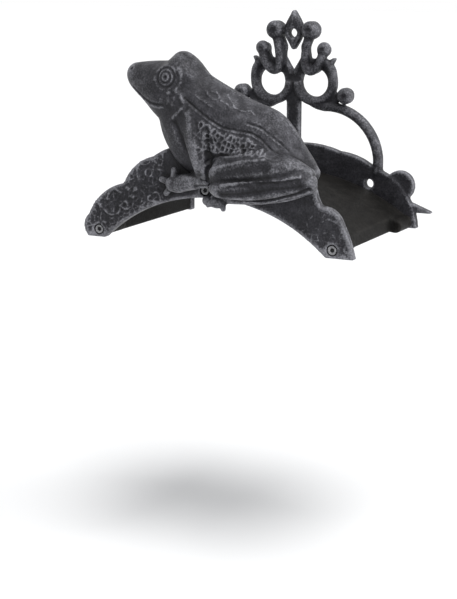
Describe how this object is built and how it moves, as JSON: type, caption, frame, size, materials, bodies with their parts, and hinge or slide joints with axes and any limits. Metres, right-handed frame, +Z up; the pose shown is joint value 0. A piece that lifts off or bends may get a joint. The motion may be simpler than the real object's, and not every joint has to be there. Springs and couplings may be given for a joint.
{
  "type": "hose hanger",
  "caption": "Wall-hung garden hose hanger: an arched saddle between an openwork wall plate and a front plate on which a frog sits.",
  "frame": {"origin": "centre of the circle through the wall screw holes, on the wall", "axes": "+Z up, +Y into the wall, +X to the right seen from the front; the frog looks towards -X"},
  "size_m": [0.2842, 0.2109, 0.1995],
  "materials": {
    "antique_iron": "dark antique coat, rubbed pale on the raised relief",
    "black_paint": "plain matt black",
    "screw_steel": "blackened, worn on the edges"
  },
  "bodies": {
    "root": {"frog_front_plate": "antique_iron", "saddle": "black_paint", "wall_plate": "antique_iron", "front_screws": "screw_steel", "rear_screws": "screw_steel"}
  },
  "joints": []
}
